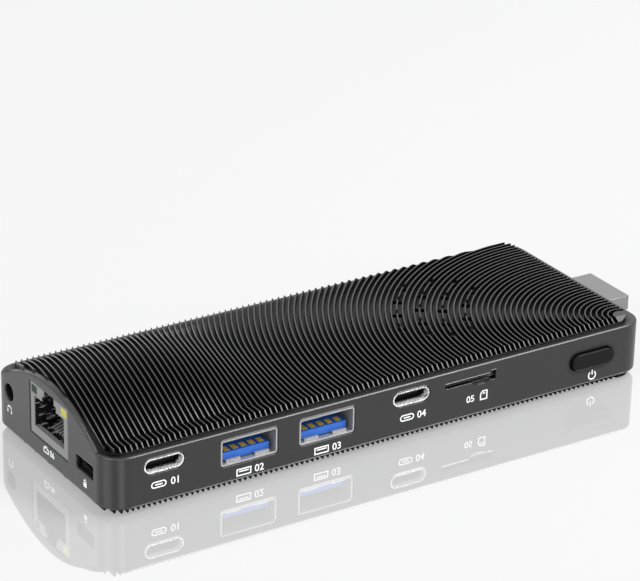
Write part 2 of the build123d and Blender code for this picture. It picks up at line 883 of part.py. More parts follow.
# Wireless module, its shield, two antennas on the back wall and their leads
wireless_shares = (0.261, 0.768)
wireless_length = 12.0
wireless_width = 16.0
wireless_thickness = 0.8
shield_width = 11.0
shield_height = 1.2
shield_edge = 1.0
coax_radius = 0.9
coax_height = 0.6
coax_x = 3.0
coax_edge = 2.0
antenna_names = ("antenna_1", "antenna_2")
antenna_mid_alongs = (29.0, 103.5)
antenna_length = 24.0
antenna_low = 4.5
antenna_width = 4.6
antenna_thickness = 0.3
lead_radius = 0.57
lead_bend = 2.0
lead_lap = 5.0
wireless_x, wireless_y = place(wireless_shares)
wireless_low = board_z - wireless_thickness
shield_y = wireless_y - wireless_width / 2 + shield_edge + shield_width / 2
coax_y = wireless_y + wireless_width / 2 - coax_edge
coax_places = [(wireless_x - coax_x, coax_y), (wireless_x + coax_x, coax_y)]
lead_z = wireless_low - coax_height - lead_radius
antenna_y = back_y - wall - antenna_thickness
lead_back_y = antenna_y - lead_radius

with BuildPart() as wireless_module:
    under(board_z, [(wireless_x, wireless_y)], wireless_length, wireless_width, wireless_thickness)
    with BuildSketch(Plane.XY.offset(wireless_low)):
        with Locations(*coax_places):
            Circle(coax_radius)
    extrude(amount=-coax_height)
wireless_module.part.label = "wireless_module"
export_step(wireless_module.part, "parts/wireless_module.step")

with BuildPart() as wireless_shield:
    shield_length = wireless_length - 2 * shield_edge
    under(wireless_low, [(wireless_x, shield_y)], shield_length, shield_width, shield_height)
wireless_shield.part.label = "wireless_shield"
export_step(wireless_shield.part, "parts/wireless_shield.step")

for number, node in enumerate(antenna_names):
    with BuildPart() as antenna:
        antenna_x = along(antenna_mid_alongs[number])
        box_between(
            (antenna_x - antenna_length / 2, antenna_x + antenna_length / 2),
            (antenna_y, back_y - wall),
            (antenna_low, antenna_low + antenna_width),
        )
    antenna.part.label = node
    export_step(antenna.part, f"parts/{node}.step")
    # The lead leaves its coax socket towards the back wall and laps its antenna
    start_x, start_y = coax_places[number]
    side = 2 * number - 1
    end_x = antenna_x - side * (antenna_length / 2 - lead_lap)
    with BuildPart() as lead:
        with BuildLine() as route:
            FilletPolyline(
                (start_x, start_y - coax_radius, lead_z),
                (start_x, lead_back_y, lead_z),
                (end_x, lead_back_y, lead_z),
                radius=lead_bend,
            )
        with BuildSketch(Plane.XZ.offset(coax_radius - start_y)):
            with Locations((start_x, lead_z)):
                Circle(lead_radius)
        sweep()
    lead.part.label = f"antenna_lead_{number + 1}"
    export_step(lead.part, f"parts/antenna_lead_{number + 1}.step")

# Network jack: body with a stepped mouth, metal wrap, lights and contact wires
jack_skin = 0.2
mouth_width = 12.5
mouth_height = 6.9
mouth_low = 1.6
mouth_depth = 12.6
latch_width = 6.0
latch_height = 1.2
key_width = 4.2
key_depth = 2.2
light_width = 2.3
light_height = 1.7
light_edge = 0.25
light_depth = 9.0
jack_wire_count = 8
jack_wire_pitch = 1.02
jack_wire_width = 0.45
jack_wire_thickness = 0.3
jack_wire_start = 2.6
jack_wire_rise = 3.2
jack_front_x = along(jack_setback)
jack_back_x = jack_front_x + jack_depth
jack_top = jack_low + jack_height
mouth_z = jack_low + mouth_low
latch_z = mouth_z + mouth_height
body_half = jack_width / 2 - jack_skin
light_y_mid = body_half - light_edge - light_width / 2
light_z_mid = jack_top - jack_skin - light_edge - light_height / 2
light_names = {"network_activity_light": -light_y_mid, "network_link_light": light_y_mid}


def jack_mouth():
    """The stepped mouth of the network jack, in the sketch being built."""
    with Locations((0, mouth_z + mouth_height / 2)):
        Rectangle(mouth_width, mouth_height)
    with Locations((0, latch_z + latch_height / 2)):
        Rectangle(latch_width, latch_height)


def jack_key():
    """The notch from the mouth of the network jack to its top, in the sketch being built."""
    with Locations((0, (latch_z + jack_top + overrun) / 2)):
        Rectangle(key_width, jack_top + overrun - latch_z)


def jack_windows():
    """The places of the two lights of the network jack, in the sketch being built."""
    with Locations(*[(y, light_z_mid) for y in light_names.values()]):
        Rectangle(light_width, light_height)


plate_x = jack_front_x + jack_skin
with BuildPart() as network_jack_body:
    box_between(
        (plate_x, jack_back_x - jack_skin),
        (-body_half, body_half),
        (jack_low, jack_top - jack_skin),
    )
    with BuildSketch(Plane.YZ.offset(plate_x)):
        jack_mouth()
    extrude(amount=mouth_depth - jack_skin, mode=Mode.SUBTRACT)
    with BuildSketch(Plane.YZ.offset(plate_x)):
        jack_key()
    extrude(amount=key_depth - jack_skin, mode=Mode.SUBTRACT)
    with BuildSketch(Plane.YZ.offset(plate_x)):
        jack_windows()
    extrude(amount=light_depth - jack_skin, mode=Mode.SUBTRACT)
network_jack_body.part.label = "network_jack_body"
export_step(network_jack_body.part, "parts/network_jack_body.step")

with BuildPart() as network_jack_shell:
    box_between(
        (jack_front_x, jack_back_x), (-jack_width / 2, jack_width / 2), (jack_low, jack_top)
    )
    box_between(
        (plate_x, jack_back_x - jack_skin),
        (-body_half, body_half),
        (jack_low - overrun, jack_top - jack_skin),
        mode=Mode.SUBTRACT,
    )
    with BuildSketch(Plane.YZ.offset(jack_front_x - overrun)):
        jack_mouth()
        jack_key()
        jack_windows()
    extrude(amount=overrun + key_depth, mode=Mode.SUBTRACT)
    # Bent lip along the floor of the mouth
    box_between(
        (jack_front_x, jack_front_x + key_depth / 2),
        (-mouth_width / 2, mouth_width / 2),
        (mouth_z, mouth_z + jack_skin),
    )
    # Solder ledges that reach the board beside the cut-out
    for side in (-1, 1):
        box_between(
            (jack_front_x + mouth_depth / 2, jack_back_x),
            sorted((side * jack_width / 2, side * (jack_width / 2 + 2 * jack_cut_gap))),
            (board_z - jack_skin, board_z),
        )
network_jack_shell.part.label = "network_jack_shell"
export_step(network_jack_shell.part, "parts/network_jack_shell.step")

for node, light_y in light_names.items():
    with BuildPart() as jack_light:
        box_between(
            (jack_front_x, jack_front_x + light_depth),
            (light_y - light_width / 2, light_y + light_width / 2),
            (light_z_mid - light_height / 2, light_z_mid + light_height / 2),
        )
    jack_light.part.label = node
    export_step(jack_light.part, f"parts/{node}.step")

with BuildPart() as network_jack_contacts:
    wire_near_x = jack_front_x + jack_wire_start
    wire_far_x = jack_front_x + mouth_depth
    for i in range(jack_wire_count):
        wire_y = (i - (jack_wire_count - 1) / 2) * jack_wire_pitch
        with BuildSketch(Plane.XZ.offset(-wire_y - jack_wire_width / 2)):
            with BuildLine():
                Polyline(
                    (wire_near_x, mouth_z),
                    (wire_near_x + jack_wire_thickness, mouth_z),
                    (wire_far_x, mouth_z + jack_wire_rise),
                    (wire_far_x, mouth_z + jack_wire_rise + jack_wire_thickness),
                    (wire_near_x, mouth_z + jack_wire_thickness),
                    close=True,
                )
            make_face()
        extrude(amount=jack_wire_width)
network_jack_contacts.part.label = "network_jack_contacts"
export_step(network_jack_contacts.part, "parts/network_jack_contacts.step")

# Headphone jack in its cut-out, with solder tabs under the board
audio_bore_radius = 1.75
audio_bore_depth = 11.5
audio_tab_reach = 1.3
audio_tab_thickness = 0.25
audio_tab_length = 1.6
audio_tab_count = 2
audio_y = inward(audio_inward)

with BuildPart() as audio_jack_body:
    box_between(
        (along(audio_front), along(audio_front + audio_depth)),
        (audio_y - audio_width / 2, audio_y + audio_width / 2),
        (audio_low, audio_high),
    )
    with BuildSketch(Plane.YZ.offset(along(audio_front))):
        with Locations((audio_y, audio_z)):
            Circle(audio_bore_radius)
    extrude(amount=audio_bore_depth, mode=Mode.SUBTRACT)
audio_jack_body.part.label = "audio_jack_body"
export_step(audio_jack_body.part, "parts/audio_jack_body.step")

with BuildPart() as audio_jack_contacts:
    for i in range(audio_tab_count):
        tab_x = along(audio_front + audio_depth * (i + 1) / (audio_tab_count + 1))
        for side in (-1, 1):
            tab_y = audio_y + side * audio_width / 2
            box_between(
                (tab_x - audio_tab_length / 2, tab_x + audio_tab_length / 2),
                sorted((tab_y, tab_y + side * audio_tab_reach)),
                (board_z - audio_tab_thickness, board_z),
            )
audio_jack_contacts.part.label = "audio_jack_contacts"
export_step(audio_jack_contacts.part, "parts/audio_jack_contacts.step")

# Lock plate behind its slot in the short side
lock_plate_thickness = 0.8
lock_plate_margin = 2.0
lock_plate_x = port_x + wall + board_clearance

with BuildPart() as lock_plate:
    box_between(
        (lock_plate_x, lock_plate_x + lock_plate_thickness),
        (
            inward(lock_inward) - lock_length / 2 - lock_plate_margin,
            inward(lock_inward) + lock_length / 2 + lock_plate_margin,
        ),
        (lock_z - lock_height / 2 - lock_plate_margin / 2, board_z),
    )
    with BuildSketch(Plane.YZ.offset(lock_plate_x)):
        with Locations((inward(lock_inward), lock_z)):
            RectangleRounded(lock_length, lock_height, lock_corner)
    extrude(amount=lock_plate_thickness, mode=Mode.SUBTRACT)
lock_plate.part.label = "lock_plate"
export_step(lock_plate.part, "parts/lock_plate.step")

# Two wide sockets: shell with legs and spring tabs, tongue, and two contact rows
wide_tongue_width = 10.7
wide_tongue_height = 1.7
wide_tongue_gap = 0.25
wide_tongue_setback = 1.3
wide_block_depth = 2.6
wide_leg_length = 1.6
wide_leg_inset_share = 0.3
wide_tab_width = 3.3
wide_tab_setback = 0.5
wide_tab_height = 0.55
wide_tab_x = 3.35
pad_count = 5
pad_pitch = 2.0
pad_width = 1.2
pad_length = 1.7
pad_proud = 0.06
spring_count = 4
spring_pitch = 2.5
spring_start = 3.8
spring_height = 0.4
spring_thickness = 0.2
socket_front_y = inward(socket_setback)
wide_back_y = socket_front_y + wide_depth
wide_floor_z = wide_z - wide_height / 2 + wide_wall
tongue_low = wide_floor_z + wide_tongue_gap
tongue_top = tongue_low + wide_tongue_height
tongue_front_y = socket_front_y + wide_tongue_setback
block_front_y = wide_back_y - wide_block_depth
spring_y = tongue_front_y + spring_start

for number, wide_along in enumerate(wide_alongs, 1):
    wide_x = along(wide_along)
    with BuildPart() as wide_shell:
        with BuildSketch(Plane.XZ.offset(-socket_front_y)):
            with Locations((wide_x, wide_z)):
                RectangleRounded(wide_width, wide_height, wide_corner)
                RectangleRounded(
                    wide_width - 2 * wide_wall,
                    wide_height - 2 * wide_wall,
                    wide_corner - wide_wall,
                    mode=Mode.SUBTRACT,
                )
        extrude(amount=-wide_depth)
        for side in (-1, 1):
            side_x = wide_x + side * wide_width / 2
            for share in (wide_leg_inset_share, 1 - wide_leg_inset_share):
                leg_y = socket_front_y + wide_depth * share
                box_between(
                    sorted((side_x, side_x - side * wide_wall)),
                    (leg_y - wide_leg_length / 2, leg_y + wide_leg_length / 2),
                    (wide_z, board_z),
                )
            tab_x = wide_x + side * wide_tab_x
            box_between(
                (tab_x - wide_tab_width / 2, tab_x + wide_tab_width / 2),
                (socket_front_y + wide_tab_setback, tongue_front_y - contact_gap),
                (wide_floor_z - wide_wall / 2, wide_floor_z + wide_tab_height),
            )
    wide_shell.part.label = f"wide_socket_shell_{number}"
    export_step(wide_shell.part, f"parts/wide_socket_shell_{number}.step")

    with BuildPart() as wide_tongue:
        box_between(
            (wide_x - wide_tongue_width / 2, wide_x + wide_tongue_width / 2),
            (tongue_front_y, wide_back_y),
            (tongue_low, tongue_top),
        )
        with BuildSketch(Plane.XZ.offset(-block_front_y)):
            with Locations((wide_x, wide_z)):
                RectangleRounded(
                    wide_width - 2 * wide_wall,
                    wide_height - 2 * wide_wall,
                    wide_corner - wide_wall,
                )
        extrude(amount=-wide_block_depth)
    wide_tongue.part.label = f"wide_socket_tongue_{number}"
    export_step(wide_tongue.part, f"parts/wide_socket_tongue_{number}.step")

    with BuildPart() as wide_contacts:
        for i in range(pad_count):
            pad_x = wide_x + (i - (pad_count - 1) / 2) * pad_pitch
            box_between(
                (pad_x - pad_width / 2, pad_x + pad_width / 2),
                (tongue_front_y + pad_width / 2, tongue_front_y + pad_width / 2 + pad_length),
                (tongue_top, tongue_top + pad_proud),
            )
        for i in range(spring_count):
            spring_x = wide_x + (i - (spring_count - 1) / 2) * spring_pitch
            with BuildSketch(Plane.YZ.offset(spring_x - pad_width / 2)):
                with BuildLine():
                    Polyline(
                        (spring_y, tongue_top),
                        (spring_y + spring_height, tongue_top + spring_height),
                        (block_front_y, tongue_top + spring_thickness),
                        (block_front_y, tongue_top),
                        close=True,
                    )
                make_face()
            extrude(amount=pad_width)
    wide_contacts.part.label = f"wide_socket_contacts_{number}"
    export_step(wide_contacts.part, f"parts/wide_socket_contacts_{number}.step")

# Two oval sockets: shell, tongue with its rear block, and contact strips
oval_tongue_width = 6.7
oval_tongue_height = 0.7
oval_tongue_setback = 2.3
oval_block_depth = 4.2
strip_count = 10
strip_pitch = 0.55
strip_width = 0.28
strip_proud = 0.05
strip_setback = 0.2
oval_back_y = socket_front_y + oval_depth
oval_tongue_y = socket_front_y + oval_tongue_setback
oval_block_y = oval_back_y - oval_block_depth

for number, oval_along in enumerate(oval_alongs, 1):
    oval_x = along(oval_along)
    with BuildPart() as oval_shell:
        with BuildSketch(Plane.XZ.offset(-socket_front_y)):
            with Locations((oval_x, oval_z)):
                SlotOverall(oval_width, oval_height)
                SlotOverall(
                    oval_width - 2 * oval_wall, oval_height - 2 * oval_wall, mode=Mode.SUBTRACT
                )
        extrude(amount=-oval_depth)
    oval_shell.part.label = f"oval_socket_shell_{number}"
    export_step(oval_shell.part, f"parts/oval_socket_shell_{number}.step")

    with BuildPart() as oval_tongue:
        box_between(
            (oval_x - oval_tongue_width / 2, oval_x + oval_tongue_width / 2),
            (oval_tongue_y, oval_back_y),
            (oval_z - oval_tongue_height / 2, oval_z + oval_tongue_height / 2),
        )
        with BuildSketch(Plane.XZ.offset(-oval_block_y)):
            with Locations((oval_x, oval_z)):
                SlotOverall(oval_width - 2 * oval_wall, oval_height - 2 * oval_wall)
        extrude(amount=-oval_block_depth)
    oval_tongue.part.label = f"oval_socket_tongue_{number}"
    export_step(oval_tongue.part, f"parts/oval_socket_tongue_{number}.step")

    with BuildPart() as oval_contacts:
        for i in range(strip_count):
            strip_x = oval_x + (i - (strip_count - 1) / 2) * strip_pitch
            for side in (-1, 1):
                strip_z = oval_z + side * oval_tongue_height / 2
                box_between(
                    (strip_x - strip_width / 2, strip_x + strip_width / 2),
                    (oval_tongue_y + strip_setback, oval_block_y),
                    sorted((strip_z, strip_z + side * strip_proud)),
                )
    oval_contacts.part.label = f"oval_socket_contacts_{number}"
    export_step(oval_contacts.part, f"parts/oval_socket_contacts_{number}.step")

# Card socket: base under the board, sheet shell below it, slider and contacts
card_width = 14.5
card_depth = 13.0
card_front_y = inward(wall + fit_gap)
card_skin = 0.25
card_base_low = card_z + card_slit_height / 2
card_shell_low = card_z - card_slit_height / 2 - card_skin
slider_width = 2.0
slider_length = 5.0
slider_travel = 1.2
slider_gap = 0.15
card_pin_count = 8
card_pin_pitch = 1.1
card_pin_width = 0.6
card_pin_length = 3.0
card_pin_drop = 0.2
card_x = along(card_along)
card_inner = card_width / 2 - card_skin
card_back_y = card_front_y + card_depth

with BuildPart() as card_socket_base:
    box_between(
        (card_x - card_inner, card_x + card_inner),
        (card_front_y, card_back_y),
        (card_base_low, board_z),
    )
card_socket_base.part.label = "card_socket_base"
export_step(card_socket_base.part, "parts/card_socket_base.step")

with BuildPart() as card_socket_shell:
    box_between(
        (card_x - card_width / 2, card_x + card_width / 2),
        (card_front_y, card_back_y),
        (card_shell_low, board_z),
    )
    box_between(
        (card_x - card_inner, card_x + card_inner),
        (card_front_y - overrun, card_back_y + overrun),
        (card_shell_low + card_skin, board_z + overrun),
        mode=Mode.SUBTRACT,
    )
card_socket_shell.part.label = "card_socket_shell"
export_step(card_socket_shell.part, "parts/card_socket_shell.step")

slider_x = card_x + card_inner - slider_gap - slider_width / 2
slider_back_y = card_back_y - slider_travel - slider_gap
with BuildPart() as card_slider:
    box_between(
        (slider_x - slider_width / 2, slider_x + slider_width / 2),
        (slider_back_y - slider_length, slider_back_y),
        (card_shell_low + card_skin + slider_gap, card_base_low - slider_gap),
    )
card_slider.part.label = "card_slider"
export_step(card_slider.part, "parts/card_slider.step")

with BuildPart() as card_contacts:
    for i in range(card_pin_count):
        pin_x = card_x - card_pin_pitch + (i - (card_pin_count - 1) / 2) * card_pin_pitch
        box_between(
            (pin_x - card_pin_width / 2, pin_x + card_pin_width / 2),
            (card_front_y + card_pin_length, card_front_y + 2 * card_pin_length),
            (card_base_low - card_pin_drop, card_base_low),
        )
card_contacts.part.label = "card_contacts"
export_step(card_contacts.part, "parts/card_contacts.step")
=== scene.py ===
"""Finned stick computer on a pale glossy floor, seen as in the photograph.

The object's lengths are in millimetres until MM turns them to metres; the floor and the
lights are in metres. The frame is the CAD part's own: +X towards the video plug, the long
side with the sockets faces -Y, +Z up, floor at zero.
"""

import json
import math

import bpy
import numpy as np
from mathutils import Matrix, Vector


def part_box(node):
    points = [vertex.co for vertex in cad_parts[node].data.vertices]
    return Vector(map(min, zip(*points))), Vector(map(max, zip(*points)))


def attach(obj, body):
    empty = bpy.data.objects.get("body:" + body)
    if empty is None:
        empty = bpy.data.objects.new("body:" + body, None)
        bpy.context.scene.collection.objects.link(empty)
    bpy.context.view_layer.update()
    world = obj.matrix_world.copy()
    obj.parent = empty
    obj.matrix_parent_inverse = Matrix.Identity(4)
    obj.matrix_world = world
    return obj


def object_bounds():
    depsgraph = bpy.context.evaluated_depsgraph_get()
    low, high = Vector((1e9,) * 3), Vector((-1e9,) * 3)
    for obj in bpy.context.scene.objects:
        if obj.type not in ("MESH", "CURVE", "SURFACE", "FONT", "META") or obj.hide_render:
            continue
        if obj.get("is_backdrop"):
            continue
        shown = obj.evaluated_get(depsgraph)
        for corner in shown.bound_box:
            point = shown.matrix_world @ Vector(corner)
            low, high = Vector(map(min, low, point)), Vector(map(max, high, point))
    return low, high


MM = 0.001

# Camera, solved from the photograph, with its angles in degrees
CAMERA_PLACE = (-313.3, -474.8, 280.0)
CAMERA_AZIMUTH = -32.87
CAMERA_ELEVATION = 24.26
CAMERA_ROLL = 1.20
CAMERA_LENS = 168.05
CAMERA_SENSOR = 36.0
CAMERA_NEAR = 10.0

# Lights: name, place, aim, width and height in metres, and power in watts
LIGHTS = (
    ("left_softbox", (-0.9, -0.1, 0.45), (-0.03, 0.0, 0.0), (0.6, 0.6), 3.5),
    ("rim_softbox", (0.5, -0.15, 0.85), (0.0, 0.0, 0.0), (0.65, 0.35), 11.0),
    ("edge_strip", (0.5, -0.46, 0.8), (0.0, 0.0, 0.0), (0.3, 0.3), 4.0),
    ("back_softbox", (-0.4, 0.75, 0.5), (0.0, 0.0, 0.0), (0.5, 0.3), 0.35),
    ("hump_softbox", (-0.39, 0.08, 0.9), (-0.03, 0.0, 0.0), (0.4, 0.3), 2.0),
    ("front_fill", (-0.35, -0.95, 0.5), (0.0, 0.0, 0.0), (0.4, 0.4), 2.5),
)

# Strength of the world as a fill, and as the camera and mirrors see it
WORLD_FILL = 0.6
WORLD_SEEN = 1.0

# Floor: its width in metres, the share of its light that is a mirror image, its colour,
# its own light, and how rough its matt part and its mirror are
FLOOR_SIZE = 6.0
FLOOR_MIRROR = 0.33
FLOOR_COLOUR = (0.165, 0.165, 0.166)
FLOOR_LIGHT = 0.56
FLOOR_ROUGHNESS = 0.6
MIRROR_ROUGHNESS = 0.03

# Margins of the case round its fins, how far its outer rim is rounded, and how much wider
# the lip behind the rim reaches
RIM_SIDE = 1.2
RIM_PORT = 1.0
RIM_PLUG = 2.3
RIM_ROUND = 0.6
LIP_REACH = 0.5

# Painted shade in the grooves between fins: how near a wall dims them, how steeply, the
# darkest painted shade, the gloss from the darkest to the open places, and the least share of
# light left on the lip
GROOVE_REACH = 1.4
GROOVE_POWER = 3.0
GROOVE_SHADE = (0.001, 0.001, 0.001)
GROOVE_GLOSS = (0.05, 0.5)
LIP_SHARE = 0.6

# Samples of the nodes that look at near surfaces
EDGE_SAMPLES = 6
RIM_SAMPLES = 12
GROOVE_SAMPLES = 8

# Depth of every surface's fine grain
GRAIN_DEPTH = 0.02

# Chrome in the oval sockets: the depths behind the long side between which painted shade
# turns it dark, how many patches it has to the metre and how uneven, the noise values between
# which a patch brightens, its least brightness, and the two colours, the dark one serving both the
# painted shade and the darker patches
CHROME_SHADE_DEPTHS = (1.3, 2.0)
PATCH_SCALE = 2600.0
PATCH_DETAIL = 3.0
PATCH_NOISE = (0.38, 0.5)
PATCH_LEAST = 0.2
CHROME_DARK_AND_SHADE = (0.012, 0.012, 0.012)
CHROME_BRIGHT = (0.9, 0.9, 0.91)

# Lining of the network jack: how close its streaks lie along X, Y and Z, how uneven they
# are, the noise values between which one begins, the two colours, the share of metal in a
# streak, and how strong and deep its folds are
STREAK_SCALES = (500.0, 900.0, 2200.0)
STREAK_DETAIL = 3.0
STREAK_NOISE = (0.56, 0.66)
LINING_BLACK = (0.006, 0.006, 0.006)
LINING_BRIGHT = (0.6, 0.6, 0.6)
STREAK_METAL = 0.6
FOLD_STRENGTH = 0.6
FOLD_DEPTH = 0.1

# Gloss of the button and of the jack's two lights
BUTTON_GLOSS = 0.12
LIGHT_GLOSS = 0.15

# Sockets of the mix node for each kind of value: first, second and result
MIX_SOCKETS = {"RGBA": (6, 7, 2), "VECTOR": (4, 5, 1)}

# Small print: how far it stands out of the case and reaches into it, the width of its
# lines, and a numeral's depth and the growth of its outline before it is scaled
PRINT_THICKNESS = 0.02
PRINT_SINK = 0.01
LINE_WIDTH = 0.27
POWER_LINE_WIDTH = 0.3
NUMERAL_EXTRUDE = 0.5
NUMERAL_OFFSET = 0.012

# Signs on the long side: name, mark, x, height over the floor, and the number beside it
LONG_SIDE_SIGNS = (
    ("sign_1", "oval", -59.0, 5.25, "01"),
    ("sign_2", "box", -39.6, 2.95, "02"),
    ("sign_3", "box", -21.3, 2.95, "03"),
    ("sign_4", "oval", -0.6, 5.05, "04"),
    ("sign_5", "card", 18.6, 5.45, ""),
    ("sign_6", "power", 46.95, 3.1, ""),
)
NUMBER_SHIFT = 3.6
NUMBER_HEIGHT = 1.6

# Signs on the port end: name, mark, y and height over the floor
PORT_END_SIGNS = (
    ("sign_7", "jack", 1.35, 4.0),
    ("sign_8", "headphones", 17.25, 6.2),
    ("sign_9", "padlock", -15.05, 3.95),
)

# Numbers left of the card slot's sign and right of the network jack's: place and height
CARD_NUMBER_PLACE = (15.2, 5.3)
CARD_NUMBER_HEIGHT = 1.5
JACK_NUMBER_PLACE = (-1.2, 4.0)
JACK_NUMBER_HEIGHT = 1.4


def new_material(name, colour, roughness, metallic=0.0):
    """A plain surface; returns the material, its nodes, its links and its main shader."""
    made = bpy.data.materials.new(name)
    made.use_nodes = True
    nodes = made.node_tree.nodes
    shader = nodes["Principled BSDF"]
    shader.inputs["Base Color"].default_value = (*colour, 1.0)
    shader.inputs["Roughness"].default_value = roughness
    shader.inputs["Metallic"].default_value = metallic
    made.diffuse_color = (*colour, 1.0)
    return made, nodes, made.node_tree.links, shader


def noise_on(nodes, links, coords, scale, detail):
    """A noise in the given coordinates."""
    noise = nodes.new("ShaderNodeTexNoise")
    noise.inputs["Scale"].default_value = scale
    noise.inputs["Detail"].default_value = detail
    links.new(coords, noise.inputs["Vector"])
    return noise.outputs["Fac"]


def grain(nodes, links, scale, detail=2.0):
    """A fine noise in object coordinates, with so many waves to the metre."""
    coords = nodes.new("ShaderNodeTexCoord")
    return noise_on(nodes, links, coords.outputs["Object"], scale, detail)


def object_axes(nodes, links):
    """The object's own X, Y and Z as three outputs."""
    coords = nodes.new("ShaderNodeTexCoord")
    split = nodes.new("ShaderNodeSeparateXYZ")
    links.new(coords.outputs["Object"], split.inputs["Vector"])
    return split.outputs


def spread(nodes, links, value, low, high, start=0.0, end=1.0):
    """Maps a value from start..end to low..high, and holds it there outside."""
    ramp = nodes.new("ShaderNodeMapRange")
    ramp.inputs["From Min"].default_value = start
    ramp.inputs["From Max"].default_value = end
    ramp.inputs["To Min"].default_value = low
    ramp.inputs["To Max"].default_value = high
    links.new(value, ramp.inputs["Value"])
    return ramp.outputs["Result"]


def reckon(nodes, links, operation, first, second, clamp=False):
    """One operation on two values, of which the second may be a plain number."""
    made = nodes.new("ShaderNodeMath")
    made.operation = operation
    made.use_clamp = clamp
    links.new(first, made.inputs[0])
    if isinstance(second, float):
        made.inputs[1].default_value = second
    else:
        links.new(second, made.inputs[1])
    return made.outputs[0]


def blend(nodes, links, kind, share, first, second):
    """Goes from the first colour or vector to the second as the share goes from 0 to 1."""
    made = nodes.new("ShaderNodeMix")
    made.data_type = kind
    links.new(share, made.inputs[0])
    *inputs, result = MIX_SOCKETS[kind]
    for socket, value in zip(inputs, (first, second)):
        if isinstance(value, tuple):
            made.inputs[socket].default_value = (*value, 1.0)
        else:
            links.new(value, made.inputs[socket])
    return made.outputs[result]


def rounded_normal(nodes, radius, samples):
    """Normals that round every edge by a radius in millimetres."""
    bevel = nodes.new("ShaderNodeBevel")
    bevel.samples = samples
    bevel.inputs["Radius"].default_value = radius * MM
    return bevel.outputs["Normal"]


def raised(nodes, links, shader, noise, strength, depth):
    """Lets a noise raise the surface by a depth in millimetres; returns the bump node."""
    height = nodes.new("ShaderNodeBump")
    height.inputs["Strength"].default_value = strength
    height.inputs["Distance"].default_value = depth * MM
    links.new(noise, height.inputs["Height"])
    links.new(height.outputs["Normal"], shader.inputs["Normal"])
    return height


def textured(name, colour, roughness, metallic=0.0, scale=9000.0, bump=0.1, edge=0.0, vary=0.06):
    """A surface with fine grain, uneven gloss and, if asked, rounded edges."""
    made, nodes, links, shader = new_material(name, colour, roughness, metallic)
    noise = grain(nodes, links, scale)
    gloss = spread(nodes, links, noise, roughness - vary, roughness + vary)
    links.new(gloss, shader.inputs["Roughness"])
    height = raised(nodes, links, shader, noise, bump, GRAIN_DEPTH)
    if edge:
        links.new(rounded_normal(nodes, edge, EDGE_SAMPLES), height.inputs["Normal"])
    return made


def paint_groove_shade(material, colour, lip=None):
    """Paints shade into colour and gloss where near walls shut out the light, as between the fins.

    The lip, if given, is a mask of the places that keep at least their share of both.
    """
    nodes, links = material.node_tree.nodes, material.node_tree.links
    shader = nodes["Principled BSDF"]
    openness = nodes.new("ShaderNodeAmbientOcclusion")
    openness.samples = GROOVE_SAMPLES
    openness.inputs["Distance"].default_value = GROOVE_REACH * MM
    share = reckon(nodes, links, "POWER", openness.outputs["AO"], GROOVE_POWER)
    if lip is not None:
        share = reckon(nodes, links, "MAXIMUM", share, spread(nodes, links, lip, 0.0, LIP_SHARE))
    # Painted shade: colour goes towards near black and gloss falls where nearby fins shut out the
    # light
    painted_shade = blend(nodes, links, "RGBA", share, GROOVE_SHADE, colour)
    links.new(painted_shade, shader.inputs["Base Color"])
    links.new(spread(nodes, links, share, *GROOVE_GLOSS), shader.inputs["Specular IOR Level"])


def outer_margin(nodes, links, further=0.0):
    """One on the case's outer walls and rim, and nought from the fins' ends inwards.

    Four tests on the object's own X and Y, one for each side of the case, are joined by
    taking the largest.
    """
    axes = object_axes(nodes, links)
    low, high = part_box("upper_housing")
    side, port, plug = [(width + further) * MM for width in (RIM_SIDE, RIM_PORT, RIM_PLUG)]
    found = reckon(nodes, links, "LESS_THAN", axes["Y"], low.y + side)
    for axis, operation, limit in (
        ("Y", "GREATER_THAN", high.y - side),
        ("X", "LESS_THAN", low.x + port),
        ("X", "GREATER_THAN", high.x - plug),
    ):
        test = reckon(nodes, links, operation, axes[axis], limit)
        found = reckon(nodes, links, "MAXIMUM", found, test)
    return found


def case_material():
    """Near-black plastic with a fine satin grain; the outer rim is rounded more."""
    colour = (0.012, 0.012, 0.0125)
    made = textured("case_plastic", colour, 0.3, scale=7000.0, bump=0.1, edge=0.06)
    nodes, links = made.node_tree.nodes, made.node_tree.links
    fine = nodes["Bevel"].outputs["Normal"]
    wide = rounded_normal(nodes, RIM_ROUND, RIM_SAMPLES)
    normal = blend(nodes, links, "VECTOR", outer_margin(nodes, links), fine, wide)
    links.new(normal, nodes["Bump"].inputs["Normal"])
    # Painted shade between the fins, kept lighter on the lip behind the rim
    paint_groove_shade(made, colour, outer_margin(nodes, links, LIP_REACH))
    return made


def cover_material():
    """The bottom cover's plastic, a little darker."""
    colour = (0.007, 0.007, 0.008)
    made = textured("cover_plastic", colour, 0.45, scale=7000.0, bump=0.12, edge=0.1)
    # Painted shade between the fins of the cover
    paint_groove_shade(made, colour)
    return made


def button_material():
    """Black rubbery plastic with little gloss."""
    made = textured("button_plastic", (0.004, 0.004, 0.0045), 0.42, bump=0.08, edge=0.15)
    shader = made.node_tree.nodes["Principled BSDF"]
    shader.inputs["Specular IOR Level"].default_value = BUTTON_GLOSS
    return made


def chrome_material():
    """Bright uneven chrome with painted shade that turns it dark with depth behind the long side.

    Its brightness is a patchy noise less a ramp of painted shade over the depth, held between 0
    and 1.
    """
    made = textured("bright_shell", (0.82, 0.82, 0.83), 0.22, 0.3, 5000.0, 0.6, edge=0.06)
    nodes, links = made.node_tree.nodes, made.node_tree.links
    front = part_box("upper_housing")[0].y
    # Painted shade: a ramp from nought to one between the two depths behind the long side, taken
    # off the brightness below
    start, end = [front + depth * MM for depth in CHROME_SHADE_DEPTHS]
    depth = spread(nodes, links, object_axes(nodes, links)["Y"], 0.0, 1.0, start, end)
    noise = grain(nodes, links, PATCH_SCALE, PATCH_DETAIL)
    patches = spread(nodes, links, noise, PATCH_LEAST, 1.0, *PATCH_NOISE)
    light = reckon(nodes, links, "SUBTRACT", patches, depth, clamp=True)
    tone = blend(nodes, links, "RGBA", light, CHROME_DARK_AND_SHADE, CHROME_BRIGHT)
    links.new(tone, nodes["Principled BSDF"].inputs["Base Color"])
    return made


